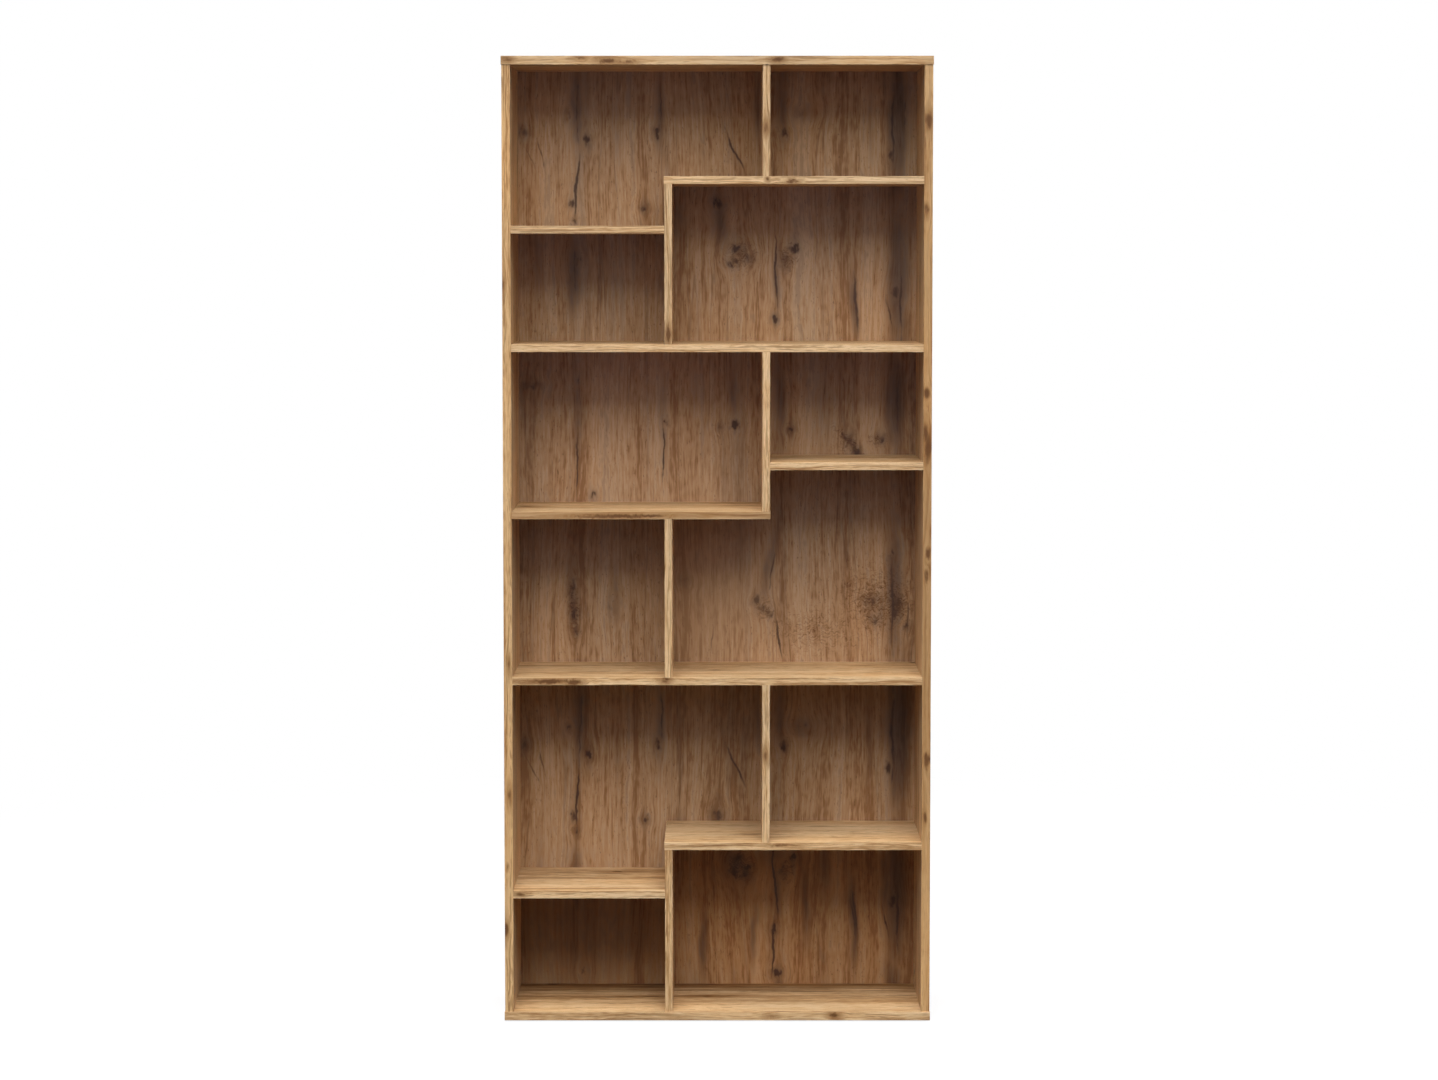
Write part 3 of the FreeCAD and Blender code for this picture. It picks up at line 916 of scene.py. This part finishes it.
def printed_back(panel, settings):
    """Printed oak on the front of a back panel, raw fibreboard on its rear and edges."""
    f = new_finish("oak_print_" + panel.name)
    oak, core = settings.oak, settings.core
    axes, base, roughness, height = oak_surface(f, oak, "Z", "X", back_figure(panel), BACK_DECOR)
    place = f.whole(axes)
    cloud = f.texture(place, CLOUD_TURNS, detail=1.0)
    lint = f.texture(place, LINT_TURNS, detail=4.0, roughness=0.75)
    board = f.mix(f.smooth(cloud * 0.25 + lint, *LINT_EDGE), core.fibreboard_deep, core.fibreboard)
    pale = f.tinted(oak.pale, oak.back_tint)
    for patch in panel_marks(panel, BACK_PALE_PATCHES):
        base = f.mix(NEARNESS ** near_mark(f, place, None, patch)[1], base, pale)
    # Painted shade: the back behind the lowest row of compartments is tinted warmer and darker
    low = (axes["Z"] < LOW_NOOK).larger((axes["Z"] < LOW_STEP) * (axes["X"] > LOW_DIVIDER))
    base = f.tinted(base, oak.low_row_shade_tint, low)
    raw = axes["Y"] > BACK_FRONT + PRINT_DEPTH
    base = f.mix(raw, base, board)
    roughness = roughness + raw * (0.12 + lint * 0.2)
    height = height * (1 - raw) + lint * raw
    return f.surface(base, roughness, height, Specular_IOR_Level=SHINE)


def beech_dowel(name, fittings):
    """Turned beech with short rays."""
    f = new_finish(name)
    place = f.whole(f.axes())
    rays = f.texture(place, (500.0, 900.0, 500.0), detail=3.0)
    cloud = f.texture(place, (60.0, 60.0, 60.0))
    deep = f.tinted(fittings.beech, linear(205, 180, 160))
    base = f.mix(f.smooth(rays * 0.7 + cloud * 0.5, 0.4, 0.8), deep, fittings.beech)
    return f.surface(base, 0.6 + rays * 0.2, rays, relief=0.0002)


# Turns a metre of the fine grain on metals
ZINC_GRAIN = 1800.0
STEEL_GRAIN = 2600.0


def metal(name, tint, grain, roughness):
    """Plated or die-cast metal with a fine grain and dull patches."""
    f = new_finish(name)
    place = f.whole(f.axes())
    fine = f.texture(place, (grain, grain, grain), detail=3.0)
    patches = f.texture(place, (140.0, 140.0, 140.0))
    dull = f.tinted(tint, linear(196, 190, 182))
    base = f.mix(f.smooth(patches, 0.35, 0.65), dull, tint)
    return f.surface(base, roughness + patches * 0.2 + fine * 0.1, fine, relief=0.0001, Metallic=1.0)


def moulded_plastic(name, tint):
    """Moulded plastic with a fine eroded texture, scuffed darker in places."""
    f = new_finish(name)
    place = f.whole(f.axes())
    fine = f.texture(place, (1400.0, 1400.0, 1400.0))
    scuffs = f.texture(place, (120.0, 300.0, 120.0), detail=3.0)
    worn = f.tinted(tint, linear(214, 208, 198))
    base = f.mix(f.smooth(scuffs, 0.45, 0.7), tint, worn)
    return f.surface(base, 0.42 + scuffs * 0.2, fine, relief=0.0001)


def give(nodes, material):
    """Put a finish in the first material slot of each CAD node."""
    for node in nodes:
        node.material_slots[0].material = material


def named(*endings):
    """The CAD nodes whose names end in one of these words."""
    return [node for name, node in NODES.items() if name.endswith(endings)]


class FinishOperator:
    """What the operators share."""

    bl_options = {"REGISTER", "UNDO"}

    def settings(self, context):
        return context.scene.staircase_bookshelf


class BOOKSHELF_OT_lying_boards(FinishOperator, bpy.types.Operator):
    """Oak with lengthwise grain on the top, the bottom and every shelf"""

    bl_idname = "bookshelf.lying_boards"
    bl_label = "Finish Lying Boards"

    def execute(self, context):
        oak = oak_board("oak_lying_board", self.settings(context), "X", "Y", LYING_BOARD_DECOR)
        give(named("_shelf", "top_board", "bottom_board"), oak)
        return {"FINISHED"}


class BOOKSHELF_OT_standing_boards(FinishOperator, bpy.types.Operator):
    """Oak with upright grain on the sides and dividers, in a paler copy of the decor as painted light"""

    bl_idname = "bookshelf.standing_boards"
    bl_label = "Finish Standing Boards"

    def execute(self, context):
        oak = oak_board("oak_standing_board", self.settings(context), "Z", "Y", STANDING_BOARD_PAINTED_LIGHT_DECOR)
        give(named("_side", "_divider"), oak)
        return {"FINISHED"}


class BOOKSHELF_OT_edge_bands(FinishOperator, bpy.types.Operator):
    """Oak edge bands, with the grain along each strip"""

    bl_idname = "bookshelf.edge_bands"
    bl_label = "Finish Edge Bands"

    def execute(self, context):
        settings = self.settings(context)
        lying = named("_shelf_front_band", "_board_front_band")
        sides = named("_side_front_band")
        dividers = named("_divider_front_band")
        ends = named("_left_band", "_right_band")
        lying_figure = drawn_figure(LYING_EDGE_KNOTS, (), (), LYING_EDGE_STREAKS, EDGE_GNARL, 0.0)
        standing_figure = drawn_figure(STANDING_EDGE_KNOTS, (), (), STANDING_EDGE_STREAKS, EDGE_GNARL, 0.0)
        plain_figure = scattered_figure(settings.oak.knot_spacing)
        give(lying, oak_band("oak_lying_band", settings, "X", "Z", lying_figure))
        give(sides, oak_band("oak_side_band", settings, "Z", "X", standing_figure, SIDE_EDGE_DECOR))
        give(dividers, oak_band("oak_divider_band", settings, "Z", "X", standing_figure))
        give(ends, oak_band("oak_end_band", settings, "Y", "Z", plain_figure))
        return {"FINISHED"}


class BOOKSHELF_OT_back_panels(FinishOperator, bpy.types.Operator):
    """Printed knotty oak on the back panels"""

    bl_idname = "bookshelf.back_panels"
    bl_label = "Finish Back Panels"

    def execute(self, context):
        for panel in named("_back_panel"):
            give([panel], printed_back(panel, self.settings(context)))
        return {"FINISHED"}


class BOOKSHELF_OT_fittings(FinishOperator, bpy.types.Operator):
    """Beech, zinc, plated steel and plastic on the fittings"""

    bl_idname = "bookshelf.fittings"
    bl_label = "Finish Fittings"

    def execute(self, context):
        settings = self.settings(context)
        fittings = settings.fittings
        disc_figure = scattered_figure(settings.oak.knot_spacing)
        give(named("wooden_dowels"), beech_dowel("beech_dowel", fittings))
        give(named("cam_housings"), metal("zinc_cam", fittings.zinc, ZINC_GRAIN, roughness=0.42))
        steel = metal("plated_steel", fittings.steel, STEEL_GRAIN, roughness=0.25)
        give(named("cam_bolts", "shelf_screws"), steel)
        give(named("screw_cover_discs"), oak_band("oak_cover_disc", settings, "X", "Y", disc_figure))
        give(named("floor_glides"), moulded_plastic("glide_plastic", fittings.plastic))
        return {"FINISHED"}


def spread(start, end, spacing):
    """Even places from start to end, no further apart than the spacing."""
    steps = max(1, math.ceil((end - start) / spacing))
    return [start + (end - start) * step / steps for step in range(steps + 1)]


def nail_places(fittings):
    """Where the back is nailed: round each panel, and into the short shelves and the dividers."""
    inset = fittings.nail_seam_inset
    places = []
    for panel in named("_back_panel"):
        low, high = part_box(panel.name)
        rows = spread(low.z + inset, high.z - inset, fittings.nail_spacing)
        for z in rows:
            places.append((low.x + inset, z))
            places.append((high.x - inset, z))
        for x in spread(low.x + inset, high.x - inset, fittings.nail_spacing)[1:-1]:
            places.append((x, low.z + inset))
            places.append((x, high.z - inset))
    margin = fittings.nail_margin
    for board in named("_step_shelf", "_nook_shelf"):
        low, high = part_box(board.name)
        for x in spread(low.x + margin, high.x - margin, fittings.nail_spacing):
            places.append((x, (low.z + high.z) / 2))
    for board in named("_divider"):
        low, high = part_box(board.name)
        for z in spread(low.z + margin, high.z - margin, fittings.nail_spacing):
            places.append(((low.x + high.x) / 2, z))
    return places


# A nail's point in shank widths, the flat share of its head, and the reach for joining its corners
NAIL_POINT = 2
NAIL_FLAT = 0.7
NAIL_MERGE = 0.01


class BOOKSHELF_OT_back_nails(FinishOperator, bpy.types.Operator):
    """Flat-headed nails that hold the back panels"""

    bl_idname = "bookshelf.back_nails"
    bl_label = "Add Back Nails"

    def execute(self, context):
        fittings = self.settings(context).fittings
        head = fittings.nail_head / 2
        shank = fittings.nail_shank / 2
        top = BACK_REAR + fittings.nail_head_height
        tip = BACK_REAR - fittings.nail_length
        outline = (
            (0.0, tip),
            (shank, tip + fittings.nail_shank * NAIL_POINT),
            (shank, BACK_REAR),
            (head, BACK_REAR),
            (head, (BACK_REAR + top) / 2),
            (head * NAIL_FLAT, top),
            (0.0, top),
        )
        mesh = bmesh.new()
        corners = [mesh.verts.new((radius, y, 0.0)) for radius, y in outline]
        edges = [mesh.edges.new(pair) for pair in zip(corners, corners[1:])]
        turn = dict(axis=(0, 1, 0), cent=(0, 0, 0), angle=math.tau, steps=fittings.nail_sides)
        bmesh.ops.spin(mesh, geom=corners + edges, use_merge=True, **turn)
        bmesh.ops.remove_doubles(mesh, verts=mesh.verts, dist=shank * NAIL_MERGE)
        bmesh.ops.recalc_face_normals(mesh, faces=mesh.faces)
        pattern = mesh.verts[:] + mesh.edges[:] + mesh.faces[:]
        for x, z in nail_places(fittings):
            copy = bmesh.ops.duplicate(mesh, geom=pattern)["geom"]
            points = [part for part in copy if isinstance(part, bmesh.types.BMVert)]
            bmesh.ops.translate(mesh, verts=points, vec=(x, 0.0, z))
        first = [part for part in pattern if isinstance(part, bmesh.types.BMVert)]
        bmesh.ops.delete(mesh, geom=first, context="VERTS")
        nails = bpy.data.objects.new("back_nails", bpy.data.meshes.new("back_nails"))
        mesh.to_mesh(nails.data)
        mesh.free()
        context.scene.collection.objects.link(nails)
        nails.data.materials.append(metal("nail_steel", fittings.steel, STEEL_GRAIN, roughness=0.3))
        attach(nails, "root")
        return {"FINISHED"}


WHITE = (1.0, 1.0, 1.0)
UPRIGHT = math.pi / 2

# The floor is plain white at so many times the distance where it starts to turn white
FADE_END = 3


def seen_directly(f):
    """1 for what the camera sees, straight or in a reflection, and 0 for light that strays."""
    path = f.add("ShaderNodeLightPath")
    return path.output("Is_Camera_Ray").larger(path.output("Is_Glossy_Ray"))


def pale_floor(studio):
    """A floor that takes the case's shadow, turns white far off and throws little light back."""
    f = new_finish("pale_floor")
    lit = f.add("ShaderNodeBsdfDiffuse", Color=studio.floor_colour)
    glow = f.add("ShaderNodeEmission", Color=WHITE)
    axes = f.axes()
    out = f.vector("LENGTH", f.join(axes["X"], axes["Y"], 0.0), (0.0, 0.0, 0.0)).output("Value")
    far = f.smooth(out, studio.floor_fade, studio.floor_fade * FADE_END)
    white = studio.floor_glow + far * (1 - studio.floor_glow)
    shown = f.add("ShaderNodeMixShader", Fac=white, Shader=lit, Shader_001=glow)
    bounce = f.add("ShaderNodeBsdfDiffuse", Color=studio.floor_bounce)
    both = f.add("ShaderNodeMixShader", Fac=seen_directly(f), Shader=bounce, Shader_001=shown)
    f.add("ShaderNodeOutputMaterial", Surface=both)
    return f.owner


def lay_floor(scene, studio):
    """A plain square floor."""
    mesh = bmesh.new()
    bmesh.ops.create_grid(mesh, x_segments=1, y_segments=1, size=studio.floor_width / 2)
    floor = bpy.data.objects.new("studio_floor", bpy.data.meshes.new("studio_floor"))
    mesh.to_mesh(floor.data)
    mesh.free()
    scene.collection.objects.link(floor)
    floor.data.materials.append(pale_floor(studio))


def light_room(scene, studio):
    """A faint cool light from all round, which the camera sees as white."""
    scene.world = bpy.data.worlds.new("studio_room")
    f = Finish(scene.world)
    seen = seen_directly(f)
    level = studio.room_light + seen * (1 - studio.room_light)
    shade = f.mix(seen, studio.room_tint, WHITE)
    room = f.add("ShaderNodeBackground", Color=shade, Strength=level)
    f.add("ShaderNodeOutputWorld", Surface=room)


def add_panel_light(scene, name, power, size, place, slope=UPRIGHT, tint=WHITE):
    """A large soft panel in front of the case, as bright far as near."""
    panel = bpy.data.lights.new(name, "AREA")
    panel.color = tint
    panel.shape = "RECTANGLE"
    panel.size, panel.size_y = size
    panel.energy = power
    f = Finish(panel)
    even = f.add("ShaderNodeLightFalloff", Strength=1.0).output("Constant")
    f.add("ShaderNodeOutputLight", Surface=f.add("ShaderNodeEmission", Strength=even))
    lamp = bpy.data.objects.new(name, panel)
    distance, height = place
    middle = Vector((0.0, CASE_FRONT - distance, height))
    lamp.matrix_world = Matrix.Translation(middle) @ Matrix.Rotation(slope, 4, "X")
    lamp.visible_camera = False
    scene.collection.objects.link(lamp)


def add_fill_light(scene, name, studio, turn):
    """A soft light from behind: turn is 0 in front, and grows to the right."""
    sun = bpy.data.lights.new(name, "SUN")
    sun.energy = studio.fill_strength
    sun.angle = studio.fill_softness
    lamp = bpy.data.objects.new(name, sun)
    flat = math.cos(studio.fill_height)
    back = Vector((math.sin(turn) * flat, -math.cos(turn) * flat, math.sin(studio.fill_height)))
    lamp.matrix_world = back.to_track_quat("Z", "Y").to_matrix().to_4x4()
    scene.collection.objects.link(lamp)


def add_lights(scene, studio):
    """Three panels in front and two soft lights behind."""
    key_size = studio.key_width, studio.key_length
    key_place = studio.key_distance, studio.key_height
    low_size = studio.key_width, studio.low_rise
    low_place = studio.low_distance, studio.low_height
    eye_size = studio.eye_light_width, studio.eye_light_rise
    eye_place = studio.eye_light_distance, studio.eye_light_height
    add_panel_light(scene, "front_light", studio.key_power, key_size, key_place, slope=studio.key_slope)
    add_panel_light(scene, "low_light", studio.low_power, low_size, low_place)
    add_panel_light(scene, "eye_light", studio.eye_light_power, eye_size, eye_place, tint=studio.room_tint)
    add_fill_light(scene, "right_rear_light", studio, studio.fill_turn)
    add_fill_light(scene, "left_rear_light", studio, -studio.fill_turn)


def add_camera(scene, studio):
    """The camera in front of the case, looking slightly down."""
    lens = bpy.data.cameras.new("camera")
    lens.lens = studio.lens
    camera = bpy.data.objects.new("camera", lens)
    eye = Vector((studio.eye_right, CASE_FRONT - studio.eye_distance, studio.eye_height))
    camera.matrix_world = Matrix.Translation(eye) @ Matrix.Rotation(UPRIGHT - studio.eye_tilt, 4, "X")
    scene.collection.objects.link(camera)
    scene.camera = camera


class BOOKSHELF_OT_studio(FinishOperator, bpy.types.Operator):
    """Pale floor, soft light and the camera"""

    bl_idname = "bookshelf.studio"
    bl_label = "Set Up Studio"

    def execute(self, context):
        studio = self.settings(context).studio
        scene = context.scene
        scene.view_settings.view_transform = "Standard"
        lay_floor(scene, studio)
        light_room(scene, studio)
        add_lights(scene, studio)
        add_camera(scene, studio)
        return {"FINISHED"}


OPERATORS = (
    BOOKSHELF_OT_lying_boards,
    BOOKSHELF_OT_standing_boards,
    BOOKSHELF_OT_edge_bands,
    BOOKSHELF_OT_back_panels,
    BOOKSHELF_OT_fittings,
    BOOKSHELF_OT_back_nails,
    BOOKSHELF_OT_studio,
)


class BOOKSHELF_PT_panel(bpy.types.Panel):
    """The bookshelf's steps and settings in the sidebar"""

    bl_idname = "BOOKSHELF_PT_panel"
    bl_label = "Staircase Bookshelf"
    bl_space_type = "VIEW_3D"
    bl_region_type = "UI"
    bl_category = "Bookshelf"

    def draw(self, context):
        for operator in OPERATORS:
            self.layout.operator(operator.bl_idname)
        settings = context.scene.staircase_bookshelf
        for group in (settings.oak, settings.core, settings.fittings, settings.studio):
            for name in type(group).__annotations__:
                self.layout.prop(group, name)


CLASSES = (
    OakSettings,
    CoreSettings,
    FittingSettings,
    StudioSettings,
    BookshelfSettings,
    *OPERATORS,
    BOOKSHELF_PT_panel,
)


def register():
    for registered in CLASSES:
        bpy.utils.register_class(registered)
    bpy.types.Scene.staircase_bookshelf = PointerProperty(type=BookshelfSettings)


def unregister():
    del bpy.types.Scene.staircase_bookshelf
    for registered in reversed(CLASSES):
        bpy.utils.unregister_class(registered)


def main():
    register()
    bpy.ops.bookshelf.lying_boards()
    bpy.ops.bookshelf.standing_boards()
    bpy.ops.bookshelf.edge_bands()
    bpy.ops.bookshelf.back_panels()
    bpy.ops.bookshelf.fittings()
    bpy.ops.bookshelf.back_nails()
    bpy.ops.bookshelf.studio()


if __name__ == "__main__":
    main()
